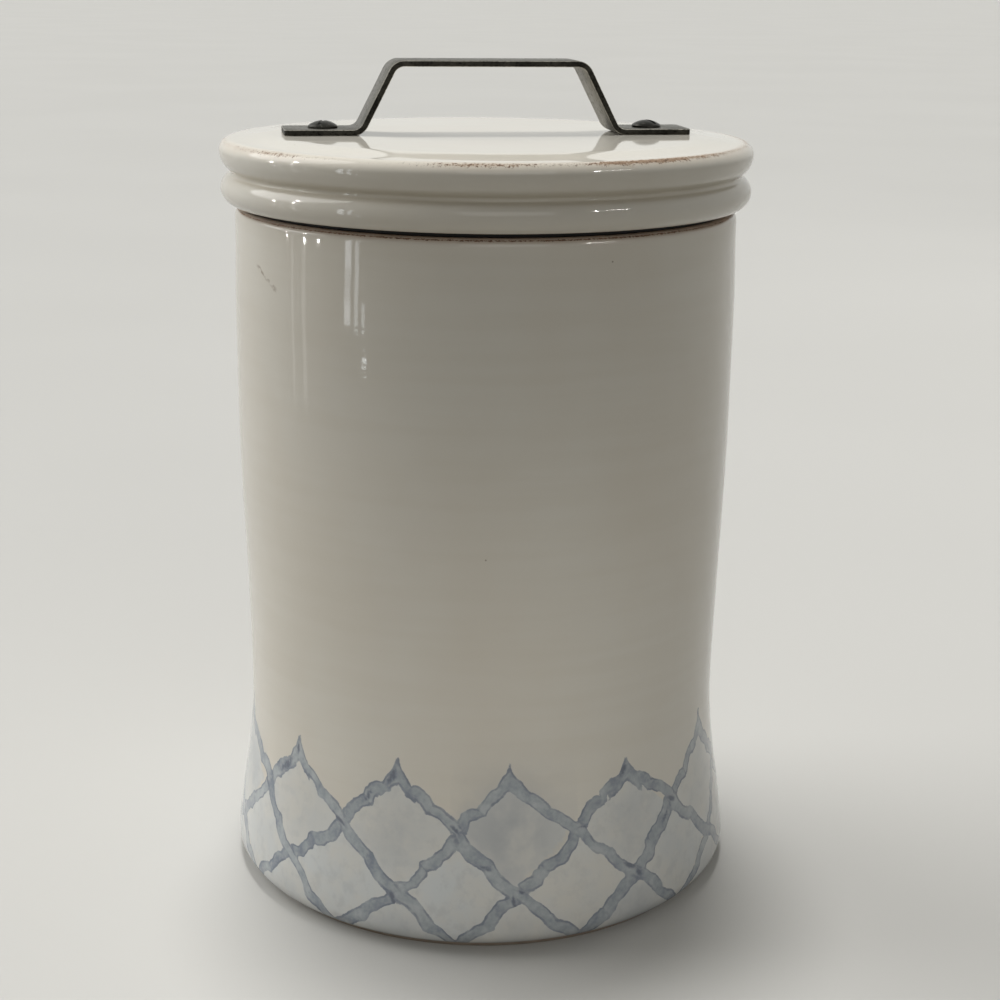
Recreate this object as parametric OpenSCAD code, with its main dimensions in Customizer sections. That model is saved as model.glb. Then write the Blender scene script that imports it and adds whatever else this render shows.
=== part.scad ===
// Stoneware biscuit jar with a beaded lid, a strap handle and a silicone seal.
// Millimetres, +Z up, origin on the worktop at the centre of the foot.
// The handle runs along X and the front is towards -Y.

/* [Jar] */
// Height of the jar without its lid
jar_h = 238.9; // [196:0.1:290]
// Diameter of the upper body, where it is widest
body_d = 173.6; // [144:0.2:210]
// Thickness of the stoneware wall
wall_t = 7.3; // [6:0.1:9]
// How far the rim draws in from the upper body
rim_draw = 0.7; // [0:0.1:2]
// Height over which the wall draws in to the rim
rim_draw_h = 33.6; // [20:0.1:50]
// Drop from the rim to where the body reaches its full width
full_drop = 68.9; // [55:0.1:90]
// How far the waist lies inside the upper body
waist_in = 2.2; // [0.5:0.1:4]
// Height of the waist above the worktop
waist_z = 70; // [56:0.5:84]
// How the wall leaves the swell: under 1 it turns in early, close above the foot
foot_turn = 0.75; // [0.6:0.01:1]
// Rounding of the rim's outer edge
lip_round = 3; // [2:0.1:3.7]
// Rounding of the rim's inner edge
mouth_round = 2; // [1:0.1:2.5]

/* [Foot] */
// How far the foot swells past the upper body
foot_out = 4.3; // [2:0.1:6]
// Radius of the swell under its widest point
foot_round = 6.5; // [4:0.1:8]
// Height of the bare band that the jar stands on
band_h = 1.9; // [1:0.1:3]
// Step from the swell's root to the standing edge
band_out = 0.6; // [0:0.1:1.5]
// Bevel on the edges of the standing ring
ring_edge = 0.6; // [0.2:0.1:1]
// Width of the standing ring
ring_w = 9; // [6:0.5:14]
// Height of the hollow under the base
base_hollow = 2.6; // [1.5:0.1:4]
// Thickness of the floor
floor_t = 7.6; // [6:0.1:10]
// Rounding between the floor and the wall
floor_round = 14; // [8:0.5:20]

/* [Lid] */
// Thickness of the lid at its edge, from the seal to the crown
lid_h = 22.4; // [18.6:0.1:27]
// How far the lid stands out past the rim
lid_out = 4.8; // [3:0.1:6]
// Thickness of the plate over the hollow
plate_t = 8; // [6:0.1:10]
// How far the top falls from the flat middle to the shoulder
crown_fall = 1.3; // [0.4:0.1:2]
// Width of the strip over which the top falls
crown_w = 17; // [10:0.5:24]
// Rounding of the shoulder, above the upper bead's widest line
shoulder_r = 4; // [3:0.1:5]
// Rounding of the lower bead
lower_bead_r = 5.2; // [4.3:0.1:6.3]
// Height of the lower bead's widest line, as a share of its rounding
bead_lift = 0.9; // [0.7:0.01:1]
// How far the two beads run into each other, which sets the upper bead's rounding
bead_overlap = 0.28; // [0.1:0.01:0.6]
// How far the lower bead lies inside the upper one
bead_step = 0.2; // [0:0.1:1]
// Rounding of the lid's lower edge
edge_r = 1.2; // [0.5:0.1:2]
// Fillet at the bottom of the groove between the beads
groove_r = 1; // [0.5:0.1:1.5]

/* [Collar and seal] */
// Depth of the locating collar under the lid
collar_h = 11.6; // [9.6:0.1:16]
// Wall of the locating collar
collar_t = 6; // [4:0.1:8]
// Height of the collar's retaining edge, which holds the seal on
keeper_h = 3; // [2.5:0.1:4]
// How far the retaining edge stands out
keeper_out = 1.5; // [1:0.1:1.8]
// Bevel of the collar's lower edges
keeper_bevel = 1; // [0.4:0.1:1.4]
// Slope on top of the retaining edge
keeper_slope = 0.4; // [0:0.1:1]
// Rounding between the collar and the plate
hollow_round = 5; // [3:0.1:6]
// Thickness of the seal between the rim and the lid
seal_t = 1.7; // [1:0.1:2]
// Thickness of the seal's sleeve round the collar
sleeve_t = 1.7; // [1.2:0.1:2.1]
// Clearance of the seal on the collar
seal_gap = 0.3; // [0.1:0.05:0.5]
// Clearance of the fins in the mouth
fin_gap = 0.3; // [0.1:0.05:0.5]
// Gap between the sleeve and the mouth, which the fins bridge
fin_reach = 2.6; // [2:0.1:3.5]
// Thickness of a fin at its root
fin_t = 1.2; // [0.8:0.1:1.6]
// Thickness of a fin at its tip
fin_tip_t = 0.5; // [0.3:0.1:0.8]
// Spacing of the fins
fin_pitch = 3; // [2.5:0.1:3.6]
// How far the seal's lip stays back from the rim's outer edge
lip_back = 2.7; // [1:0.1:4]

/* [Handle] */
// Length of a foot from its end to the bend
foot_l = 22.7; // [18.9:0.1:27.3]
// Distance from a screw to the end of its foot
screw_inset = 13.4; // [11:0.1:16]
// Height of the grip's top above the lid
handle_h = 24.5; // [20:0.1:32]
// Width of the strap
strap_w = 19.8; // [16:0.1:25]
// Thickness of the strap
strap_t = 2; // [1.5:0.1:2.4]
// Slope of the legs
leg_a = 62.6; // [50:0.1:75.5]
// Inside radius of the bends
bend_r = 3.7; // [2:0.1:4.5]
// Rounding of the strap's corners
corner_r = 1.6; // [0.5:0.1:3]

/* [Fasteners] */
// Diameter of the screw's shank
screw_d = 4; // [3:0.1:5]
// Length of the screw's end inside the cap nut
thread_hold = 3.9; // [3:0.1:4.7]
// Depth left over in the cap nut past the end of the screw
thread_spare = 1.6; // [0.5:0.1:2]
// Diameter of the screw's head
head_d = 10; // [8.3:0.1:12]
// Height of the head's straight edge
head_edge = 0.75; // [0.5:0.05:1]
// Height of the head's dome
head_dome = 1.7; // [1.2:0.1:2.1]
// Width of the slot
slot_w = 1.2; // [0.8:0.1:1.4]
// Depth of the slot
slot_depth = 1.2; // [0.8:0.1:1.4]
// Turn of the left screw's slot from the Y axis
slot_turn_left = -20; // [-90:5:90]
// Turn of the right screw's slot from the Y axis
slot_turn_right = 35; // [-90:5:90]
// How much wider the hole in the strap is than the screw
strap_slack = 0.5; // [0.2:0.1:1]
// How much wider the hole in the lid is than the screw
lid_slack = 1.2; // [0.5:0.1:2]
// How much wider the hole in a washer is than the screw
washer_slack = 0.3; // [0.1:0.1:0.8]
// Diameter of the soft washer
cushion_d = 14; // [11.5:0.1:17]
// Clearance of the soft washer from the rounding inside the lid
cushion_gap = 0.2; // [0:0.1:3]
// Thickness of the soft washer
cushion_t = 1.5; // [1:0.1:2]
// Diameter of the steel washer
washer_d = 12; // [9:0.1:14.5]
// Thickness of the steel washer
washer_t = 1; // [0.8:0.1:1.2]
// Width of the cap nut across its flats
nut_af = 7; // [5.8:0.1:10]
// Height of the cap nut's hexagon
nut_hex_h = 3.2; // [2.5:0.1:5]
// Height of the cap nut over its dome
nut_h = 8; // [6.6:0.1:10]
// Rounding of the cap nut's dome, as a share of its width across the flats
nut_dome = 0.46; // [0.4:0.01:0.5]
// Running clearance of the shank in the nut, on the radius
thread_gap = 0.05; // [0.02:0.01:0.1]

/* [Hidden] */
$fn = 180;
past = 1; // how far a cutter runs past what it cuts
fin_root = 0.2; // how far a fin is rooted in the sleeve
body_r = body_d / 2;
rim_r = body_r - rim_draw;
waist_r = body_r - waist_in;
swell_r = body_r + foot_out;
swell_z = band_h + foot_round;
foot_r = swell_r - foot_round + band_out;
full_z = jar_h - full_drop;
draw_z = jar_h - rim_draw_h;
mouth_r = rim_r - wall_t;
floor_z = base_hollow + floor_t;

seat_z = jar_h + seal_t;
lid_top = seat_z + lid_h;
bead_r = rim_r + lid_out;
upper_bead_z = lid_top - crown_fall - shoulder_r;
lower_bead_z = seat_z + bead_lift * lower_bead_r;
upper_bead_r = upper_bead_z - lower_bead_z - lower_bead_r + bead_overlap;
upper_c = [bead_r - upper_bead_r, upper_bead_z];
lower_c = [bead_r - bead_step - lower_bead_r, lower_bead_z];
plate_z = lid_top - plate_t;
sleeve_r = mouth_r - fin_reach;
seal_r = sleeve_r - sleeve_t;
collar_r = seal_r - seal_gap;
collar_z = seat_z - collar_h;
hollow_r = collar_r - collar_t;

screw_x = hollow_r - hollow_round - cushion_gap - cushion_d / 2;
handle_l = 2 * (screw_x + screw_inset);
foot_top = lid_top + strap_t;
low_run = bend_r * tan(leg_a / 2);
high_run = (bend_r + strap_t) * tan(leg_a / 2);
leg_x = handle_l / 2 - foot_l - low_run;
grip_l = 2 * (leg_x - (handle_h - strap_t) / tan(leg_a));
cushion_z = plate_z - cushion_t;
washer_z = cushion_z - washer_t;
nut_thread = thread_hold + thread_spare;
screw_l = foot_top - washer_z + thread_hold;

// Points along an arc round c, from angle a0 to a1
function arc(c, r, a0, a1, steps = 10) =
    [for (i = [0:steps]) let (a = a0 + (a1 - a0) * i / steps) c + r * [cos(a), sin(a)]];

// Smooth change from v0 to v1 as t goes from 0 to 1; a skew under 1 starts it early
function sway(v0, v1, t, skew = 1) =
    v1 + (v0 - v1) * (1 + cos(180 * pow(min(max(t, 0), 1), skew))) / 2;

// Outside radius of the jar at height z, above the widest line of the swell
function wall_r(z) =
    z < waist_z ? sway(swell_r, waist_r, (z - swell_z) / (waist_z - swell_z), foot_turn)
    : z < full_z ? sway(waist_r, body_r, (z - waist_z) / (full_z - waist_z))
    : sway(body_r, rim_r, (z - draw_z) / (jar_h - draw_z));

// Even steps from z0 up or down to z1, without z1 itself
function span(z0, z1, steps) = [for (i = [0:steps - 1]) z0 + (z1 - z0) * i / steps];

// Outer crossing of a circle and another one above it
function crossing(c1, r1, c2, r2) =
    let (d = norm(c2 - c1), u = (c2 - c1) / d,
         a = (d * d + r1 * r1 - r2 * r2) / (2 * d),
         h = sqrt(r1 * r1 - a * a))
    c1 + a * u + h * [u[1], -u[0]];

// Angle from 0 to 360 of the line from c to p
function bearing(c, p) = (atan2(p[1] - c[1], p[0] - c[0]) + 360) % 360;

module jar_body() {
    top = jar_h - lip_round;
    mouth_z = jar_h - mouth_round;
    floor_c = [wall_r(floor_z + floor_round) - wall_t - floor_round, floor_z + floor_round];
    rise = concat(span(swell_z, waist_z, 14), span(waist_z, full_z, 8), span(full_z, draw_z, 2),
        span(draw_z, top, 4));
    fall = concat(span(mouth_z - 1, draw_z, 4), span(draw_z, full_z, 2), span(full_z, waist_z, 8),
        span(waist_z, floor_c[1], 10));
    color([0.93, 0.91, 0.86])
    rotate_extrude()
    polygon(concat(
        [[foot_r - ring_edge, 0], [foot_r, ring_edge], [foot_r, band_h]],
        arc([swell_r - foot_round, swell_z], foot_round, -80, -8),
        [for (z = rise) [wall_r(z), z]],
        arc([wall_r(top) - lip_round, top], lip_round, 0, 90, 8),
        arc([mouth_r + mouth_round, mouth_z], mouth_round, 90, 180, 6),
        [for (z = fall) [wall_r(z) - wall_t, z]],
        arc(floor_c, floor_round, 0, -90, 10),
        [[0, floor_z], [0, base_hollow], [foot_r - ring_w - base_hollow / 2, base_hollow],
            [foot_r - ring_w, ring_edge], [foot_r - ring_w + ring_edge, 0]]));
}

module seal_ring() {
    root = collar_z + keeper_h + seal_gap;
    tip_r = mouth_r - fin_gap;
    color([0.13, 0.13, 0.13])
    rotate_extrude() {
        // lip that the lid rests on
        translate([seal_r, jar_h])
        square([rim_r - lip_back - seal_r, seal_t]);
        // sleeve round the collar
        translate([seal_r, root])
        square([sleeve_t, seat_z - root]);
        // fins that wipe the mouth
        for (i = [0:1])
        translate([sleeve_r, root + i * fin_pitch])
        polygon([[-fin_root, 0], [tip_r - sleeve_r, fin_t], [tip_r - sleeve_r, fin_t + fin_tip_t],
            [-fin_root, fin_t]]);
    }
}

module lid() {
    groove_c = crossing(lower_c, lower_bead_r + groove_r, upper_c, upper_bead_r + groove_r);
    shoulder_c = [bead_r - shoulder_r, upper_bead_z];
    flat_r = shoulder_c[0] - crown_w;
    edge_drop = asin((lower_c[1] - seat_z - edge_r) / (lower_bead_r - edge_r));
    edge_c = lower_c + (lower_bead_r - edge_r) * [cos(edge_drop), -sin(edge_drop)];
    crown = [for (i = [0:6]) [flat_r + crown_w * i / 6, sway(lid_top, lid_top - crown_fall, i / 6)]];
    beads = concat(
        arc(shoulder_c, shoulder_r, 80, 0, 8),
        arc(upper_c, upper_bead_r, 352, bearing(upper_c, groove_c) + 4, 6),
        arc(groove_c, groove_r, bearing(groove_c, upper_c), bearing(groove_c, lower_c), 4),
        arc(lower_c, lower_bead_r, bearing(lower_c, groove_c) - 6, 6 - edge_drop, 10),
        arc(edge_c, edge_r, -edge_drop, -90, 3));
    keeper_r = collar_r + keeper_out;
    collar = [[collar_r, seat_z], [collar_r, collar_z + keeper_h],
        [keeper_r, collar_z + keeper_h - keeper_slope],
        [keeper_r, collar_z + keeper_bevel], [keeper_r - keeper_bevel, collar_z],
        [hollow_r + keeper_bevel, collar_z], [hollow_r, collar_z + keeper_bevel]];
    ceiling = arc([hollow_r - hollow_round, plate_z - hollow_round], hollow_round, 0, 90, 8);
    color([0.94, 0.92, 0.87])
    difference() {
        rotate_extrude()
        polygon(concat([[0, lid_top]], crown, beads, collar, ceiling, [[0, plate_z]]));
        for (side = [-1, 1])
        translate([side * screw_x, 0, plate_z - past])
        cylinder(d = screw_d + lid_slack, h = plate_t + 2 * past);
    }
}

// Side view of the handle, from one foot's end over the grip to the other's
module strap_side() {
    high_c = [grip_l / 2 - high_run, handle_h - strap_t - bend_r];
    low_c = [leg_x + low_run, strap_t + bend_r];
    right = concat(
        arc(high_c, bend_r + strap_t, 90, 90 - leg_a, 12),
        arc(low_c, bend_r, 270 - leg_a, 270, 12),
        [[handle_l / 2, strap_t], [handle_l / 2, 0]],
        arc(low_c, bend_r + strap_t, 270, 270 - leg_a, 12),
        arc(high_c, bend_r, 90 - leg_a, 90, 12));
    polygon(concat(right, [for (i = [len(right) - 1:-1:0]) [-right[i][0], right[i][1]]]));
}

// Plan of the strap, with rounded corners
module strap_plan() {
    half = [handle_l / 2, strap_w / 2];
    square([handle_l - 2 * corner_r, strap_w], center = true);
    square([handle_l, strap_w - 2 * corner_r], center = true);
    for (x = [-1, 1], y = [-1, 1])
    translate([x * (half[0] - corner_r), y * (half[1] - corner_r)])
    circle(corner_r);
}

module handle_strap() {
    color([0.33, 0.33, 0.34])
    translate([0, 0, lid_top])
    difference() {
        intersection() {
            rotate([90, 0, 0])
            linear_extrude(strap_w + 2 * past, center = true)
            strap_side();
            linear_extrude(handle_h)
            strap_plan();
        }
        for (side = [-1, 1])
        translate([side * screw_x, 0, -past])
        cylinder(d = screw_d + strap_slack, h = strap_t + 2 * past);
    }
}

module handle_screw(side, turn) {
    dome_r = (head_d * head_d / 4 + head_dome * head_dome) / (2 * head_dome);
    color([0.25, 0.25, 0.26])
    translate([side * screw_x, 0, foot_top]) {
        translate([0, 0, -screw_l])
        cylinder(d = screw_d, h = screw_l);
        difference() {
            intersection() {
                cylinder(d = head_d, h = head_edge + head_dome);
                translate([0, 0, head_edge + head_dome - dome_r])
                sphere(dome_r);
            }
            rotate([0, 0, turn])
            translate([-slot_w / 2, -head_d, head_edge + head_dome - slot_depth])
            cube([slot_w, 2 * head_d, 2 * slot_depth]);
        }
    }
}

// Flat ring with its lower face at height z
module washer(side, z, d, t) {
    translate([side * screw_x, 0, z])
    difference() {
        cylinder(d = d, h = t);
        translate([0, 0, -past])
        cylinder(d = screw_d + washer_slack, h = t + 2 * past);
    }
}

module cushion_washer(side) {
    color([0.2, 0.2, 0.2])
    washer(side, cushion_z, cushion_d, cushion_t);
}

module flat_washer(side) {
    color([0.7, 0.7, 0.7])
    washer(side, washer_z, washer_d, washer_t);
}

module cap_nut(side) {
    dome_r = nut_dome * nut_af;
    color([0.72, 0.72, 0.72])
    translate([side * screw_x, 0, washer_z])
    mirror([0, 0, 1])
    difference() {
        union() {
            cylinder(d = nut_af / cos(30), h = nut_hex_h, $fn = 6);
            cylinder(r = dome_r, h = nut_h - dome_r);
            translate([0, 0, nut_h - dome_r])
            sphere(dome_r);
        }
        translate([0, 0, -past])
        cylinder(d = screw_d + 2 * thread_gap, h = nut_thread + past);
    }
}

jar_body();
seal_ring();
lid();
handle_strap();
handle_screw(-1, slot_turn_left);  // handle_screw_left
handle_screw(1, slot_turn_right);  // handle_screw_right
cushion_washer(-1);  // cushion_washer_left
cushion_washer(1);  // cushion_washer_right
flat_washer(-1);  // flat_washer_left
flat_washer(1);  // flat_washer_right
cap_nut(-1);  // cap_nut_left
cap_nut(1);  // cap_nut_right
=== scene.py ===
import math

import bpy
import numpy as np
from mathutils import Matrix, Vector


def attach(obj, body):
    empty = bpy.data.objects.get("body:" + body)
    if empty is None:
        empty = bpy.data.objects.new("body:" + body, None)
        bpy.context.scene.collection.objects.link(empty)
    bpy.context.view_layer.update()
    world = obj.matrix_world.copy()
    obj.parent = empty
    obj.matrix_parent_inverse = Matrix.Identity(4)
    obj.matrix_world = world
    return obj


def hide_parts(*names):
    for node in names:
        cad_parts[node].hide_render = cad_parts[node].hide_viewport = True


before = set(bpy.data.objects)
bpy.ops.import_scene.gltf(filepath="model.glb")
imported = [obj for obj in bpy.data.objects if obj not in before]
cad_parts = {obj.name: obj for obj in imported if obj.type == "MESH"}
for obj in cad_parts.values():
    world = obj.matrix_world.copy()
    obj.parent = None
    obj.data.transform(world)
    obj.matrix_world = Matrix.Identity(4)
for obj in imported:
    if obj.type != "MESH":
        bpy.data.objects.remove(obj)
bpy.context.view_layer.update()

# ---- the camera
# Someone stands at the worktop and looks a little down on the lid, with the
# handle turned slightly away. Lengths are in metres, angles in degrees.
EYE = (-0.1016, -0.6135, 0.3148)
HEADING = 9.956   # from +Y towards +X
DIP = 16.364      # below the horizon
TILT = 0.665      # the hand that held it was not quite level
LENS = 64.30      # millimetres on a 36 mm sensor

bpy.ops.object.camera_add(location=EYE)
camera = bpy.context.object
camera.name = camera.data.name = "eye"
camera.data.lens = LENS
camera.data.sensor_width = 36
turn = (Matrix.Rotation(-math.radians(HEADING), 3, "Z")
        @ Matrix.Rotation(math.radians(90 - DIP), 3, "X")
        @ Matrix.Rotation(math.radians(TILT), 3, "Z"))
camera.rotation_euler = turn.to_euler()
bpy.context.scene.camera = camera

# ---- the jar
# A stoneware jar thrown on a wheel, over a finger thick at the foot, glazed
# cream inside and out, with a trellis brushed round its base in thin blue-grey
# slip. The ring that it stands on is wiped bare.
MM = 0.001
BODY_R, RIM_R, WAIST_R, SWELL_R = 86.8, 86.1, 84.6, 91.1
SWELL_Z, WAIST_Z, FULL_Z, DRAW_Z, JAR_TOP = 8.4, 70.0, 170.0, 205.3, 238.9
WALL = 7.3
FOOT_R, FOOT_ROUND, RING_W, RING_EDGE = 85.2, 6.5, 9.0, 0.6
BARE_Z, HOLLOW_Z, FLOOR_Z, FLOOR_ROUND = 1.9, 2.6, 10.2, 14.0
LIP_ROUND, MOUTH_ROUND = 3.0, 2.0
COLUMNS = 585     # 45 round each repeat of the trellis
BRUSHED_TOP = 70  # the painted band ends below this height
BRUSHED_STEP = 0.9


def arc(x, z, r, a0, a1, steps):
    """Points on an arc round (x, z), both ends included; angles in degrees."""
    turns = [math.radians(a0 + (a1 - a0) * i / steps) for i in range(steps + 1)]
    return [(x + r * math.cos(a), z + r * math.sin(a)) for a in turns]


def sway(v0, v1, t, skew=1.0):
    """Eases from v0 to v1 as t goes from 0 to 1."""
    t = min(max(t, 0.0), 1.0) ** skew
    return v1 + (v0 - v1) * (1 + math.cos(math.pi * t)) / 2


def wall_r(z):
    """Outside radius of the jar at height z, above the swell of the foot."""
    if z < WAIST_Z:
        return sway(SWELL_R, WAIST_R, (z - SWELL_Z) / (WAIST_Z - SWELL_Z), 0.75)
    if z < FULL_Z:
        return sway(WAIST_R, BODY_R, (z - WAIST_Z) / (FULL_Z - WAIST_Z))
    return sway(BODY_R, RIM_R, (z - DRAW_Z) / (JAR_TOP - DRAW_Z))


def levels(z0, z1, step):
    """Heights from z0 towards z1 in even steps of about that size, without z1."""
    count = max(1, round(abs(z1 - z0) / step))
    return [z0 + (z1 - z0) * i / count for i in range(count)]


def point(name, x, y, z):
    """Starts a piece: a small plane merged to the single point drawing goes on from."""
    bpy.ops.object.select_all(action="DESELECT")
    bpy.ops.mesh.primitive_plane_add(size=MM, location=(x * MM, y * MM, z * MM))
    piece = bpy.context.object
    piece.name = piece.data.name = name
    bpy.ops.object.transform_apply(location=True, rotation=False, scale=False)
    bpy.ops.object.mode_set(mode="EDIT")
    bpy.ops.mesh.select_mode(type="VERT")
    bpy.ops.mesh.select_all(action="SELECT")
    bpy.ops.mesh.merge(type="CENTER")
    return piece


def pull(x, y, z):
    """Extrudes what is selected by that many millimetres."""
    bpy.ops.mesh.extrude_region_move(
        TRANSFORM_OT_translate={"value": (x * MM, y * MM, z * MM)})


def thrown(name, outline, columns):
    """Draws a half outline in the XZ plane point by point and spins it about Z."""
    piece = point(name, outline[0][0], 0, outline[0][1])
    for (r0, z0), (r1, z1) in zip(outline, outline[1:]):
        pull(r1 - r0, 0, z1 - z0)
    bpy.ops.mesh.select_all(action="SELECT")
    bpy.ops.mesh.remove_doubles(threshold=0.0001 * MM)
    bpy.ops.mesh.spin(steps=columns, angle=math.tau, center=(0, 0, 0), axis=(0, 0, 1))
    bpy.ops.mesh.select_all(action="SELECT")
    bpy.ops.mesh.remove_doubles(threshold=0.002 * MM)
    bpy.ops.mesh.normals_make_consistent(inside=False)
    bpy.ops.object.mode_set(mode="OBJECT")
    return piece


def take(piece):
    """Selects one piece alone and makes it the active one."""
    bpy.ops.object.select_all(action="DESELECT")
    piece.select_set(True)
    bpy.context.view_layer.objects.active = piece


def smooth(piece, angle=35):
    """Smooth shading, broken where faces meet at more than that angle."""
    take(piece)
    bpy.ops.object.shade_smooth_by_angle(angle=math.radians(angle))


def apply_all(piece):
    """Applies the modifiers of a piece from the top."""
    take(piece)
    for modifier in list(piece.modifiers):
        bpy.ops.object.modifier_apply(modifier=modifier.name)


def points_of(piece):
    """Every point of a piece, in millimetres, one row each."""
    flat = np.empty(len(piece.data.vertices) * 3)
    piece.data.vertices.foreach_get("co", flat)
    return flat.reshape(-1, 3) / MM


lip_z, mouth_z = JAR_TOP - LIP_ROUND, JAR_TOP - MOUTH_ROUND
mouth_r = RIM_R - WALL
corner = (wall_r(FLOOR_Z + FLOOR_ROUND) - WALL - FLOOR_ROUND, FLOOR_Z + FLOOR_ROUND)
ring_in = FOOT_R - RING_W
jar_outline = (
    [(r, HOLLOW_Z) for r in (0, 40, ring_in - 2)]
    + arc(ring_in - 2, HOLLOW_Z - 1, 1, 90, 20, 3)
    + [(ring_in, RING_EDGE)]
    + arc(ring_in + RING_EDGE, RING_EDGE, RING_EDGE, 200, 270, 3)
    + arc(FOOT_R - RING_EDGE, RING_EDGE, RING_EDGE, -90, 0, 3)
    + [(FOOT_R, BARE_Z - 0.1)]
    + arc(SWELL_R - FOOT_ROUND, SWELL_Z, FOOT_ROUND, -80, -6, 9)
    + [(wall_r(z), z) for z in levels(SWELL_Z, BRUSHED_TOP, BRUSHED_STEP)]
    + [(wall_r(z), z) for z in levels(BRUSHED_TOP, lip_z, 8)]
    + arc(wall_r(lip_z) - LIP_ROUND, lip_z, LIP_ROUND, 0, 90, 9)
    + arc(mouth_r + MOUTH_ROUND, mouth_z, MOUTH_ROUND, 90, 180, 6)
    + [(wall_r(z) - WALL, z) for z in levels(mouth_z - 4, corner[1], 16)]
    + arc(*corner, FLOOR_ROUND, 0, -90, 9)
    + [(r, FLOOR_Z) for r in (45, 20, 0)])
jar = thrown("thrown_jar", jar_outline, COLUMNS)

# The wall is a little uneven where the thrower's fingers passed.
OUTSIDE_R = 80.0  # the outer face lies beyond this radius
PRESSED_LOW, PRESSED_HIGH = 4.0, 232.0
PRESSED_BY, PRESS_SIZE = 0.45, 55.0
place = points_of(jar)
reach = np.hypot(place[:, 0], place[:, 1])
outside = reach > OUTSIDE_R
on_wall = np.flatnonzero(outside & (place[:, 2] > PRESSED_LOW) & (place[:, 2] < PRESSED_HIGH))
fingers = jar.vertex_groups.new(name="fingers")
fingers.add(on_wall.tolist(), 1.0, "REPLACE")
swells = bpy.data.textures.new("finger_swells", type="CLOUDS")
swells.noise_scale = PRESS_SIZE * MM
swells.noise_depth = 1
press = jar.modifiers.new("press", "DISPLACE")
press.texture = swells
press.texture_coords = "LOCAL"
press.vertex_group = "fingers"
press.mid_level = 0.5
press.strength = PRESSED_BY * MM
apply_all(jar)
smooth(jar)

# The trellis: 13 repeats. Strokes are laid in arc length at the body's radius,
# and heights, both in millimetres. Each row of crossings says how far the
# painter's hand strayed from the even spacing, in degrees and millimetres, at
# the repeats in front; the others stray by chance.
REPEATS = 13
PITCH = 360 / REPEATS
FIRST = 8.0     # angle of repeat 0 to the right of the front
FRONT = -99.4   # the front's own angle from +X
ROUND = math.radians(1) * BODY_R
GIRTH = 360 * ROUND
TIP_Z, ROW_1, ROW_2, ROW_3 = 60.8, 41.0, 21.3, 1.5
STROKE = 2.15   # half the width of a stroke
ARCH_Z, SPIRE_FOOT, SPIRE_HALF = -3.9, -5.0, 6.6   # below a tip; half width there
STRAY_ALONG, STRAY_UP = 1.3, 1.2   # how far crossings stray by chance, degrees and mm
hand = np.random.default_rng(13)


def strayed(base_angle, z, by_repeat):
    """Crossing points of one row, as (arc length, height) by repeat."""
    row = {}
    for k in range(-6, 7):
        da, dz = by_repeat.get(k, (hand.uniform(-STRAY_ALONG, STRAY_ALONG),
                                   hand.uniform(-STRAY_UP, STRAY_UP)))
        row[k] = np.array([(base_angle + k * PITCH + da) * ROUND, z + dz])
    for k in (7, 8):
        row[k] = row[k - REPEATS] + [GIRTH, 0]
    return row


tips = strayed(FIRST, TIP_Z, {-3: (-1.4, -1.5), -2: (0.0, -1.6), -1: (0.5, 0.2),
                              0: (-1.5, 0.6), 1: (-0.7, -2.4), 2: (1.6, -0.4)})
row_1 = strayed(FIRST - PITCH / 2, ROW_1, {-2: (2.3, 0.8), -1: (0.9, -0.9), 0: (1.0, 0.9),
                                           1: (0.8, -0.6), 2: (0.3, 0.6)})
row_2 = strayed(FIRST, ROW_2, {-2: (-0.1, 0.4), -1: (1.0, -0.6), 0: (0.1, 0.7),
                               1: (1.0, -0.2), 2: (2.4, -1.4)})
row_3 = strayed(FIRST - PITCH / 2, ROW_3, {})

# Each side of a cell is two bowed strokes that meet at a cusp. For the sides in
# front: the cusp's angle and height, and how far the two strokes bow out.
cusps = {
    "upper left": {-1: (-25.6, 49.3, 2.0, 2.2), 0: (0.5, 50.2, 1.2, 2.0),
                   1: (28.8, 50.5, 1.8, 2.0)},
    "upper right": {-1: (-11.7, 50.2, 1.3, 1.2), 0: (14.5, 49.0, 0.8, 0.6),
                    1: (42.0, 50.0, 1.5, 1.5)},
    "lower left": {-1: (-25.0, 32.0, 1.6, 1.4), 0: (1.5, 31.8, 1.2, 1.8),
                   1: (29.8, 32.3, 1.6, 1.3)},
    "lower right": {-1: (-12.6, 30.2, 2.0, 2.0), 0: (14.0, 31.3, 1.8, 1.8),
                    1: (41.0, 31.0, 1.6, 1.6)},
    "foot right": {-1: (-11.3, 9.0, 1.8, 1.8), 0: (15.0, 10.0, 1.2, 1.2)},
    "foot left": {-1: (-24.5, 9.0, 1.2, 1.2), 0: (2.3, 9.5, 1.5, 1.5)}}

# How high the flick above each tip in front goes, how blunt it is and how hollow
# its flanks are. The painter did not draw the fourth out to a point.
flicks = {-2: (5.8, 1.2, 1.2), -1: (6.0, 1.4, 1.45), 0: (5.6, 0.9, 1.2), 1: (4.6, 2.2, 1.1),
          2: (6.2, 1.4, 1.5)}

# Sides that were painted with a fuller brush than the rest, and how much fuller.
fuller = {("lower right", 1): 1.4, ("foot left", 1): 1.25}

# How far each point of the band is from the edge of the nearest stroke and of
# the next nearest, below 0 inside it.
angle = np.degrees(np.arctan2(place[:, 1], place[:, 0])) - FRONT
across = ((angle + 180) % 360 - 180) * ROUND
band = np.flatnonzero(outside & (place[:, 2] < BRUSHED_TOP + 1) & (place[:, 2] > BARE_Z))
s, z = across[band], place[band, 2].copy()
FAR = 30.0
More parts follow.
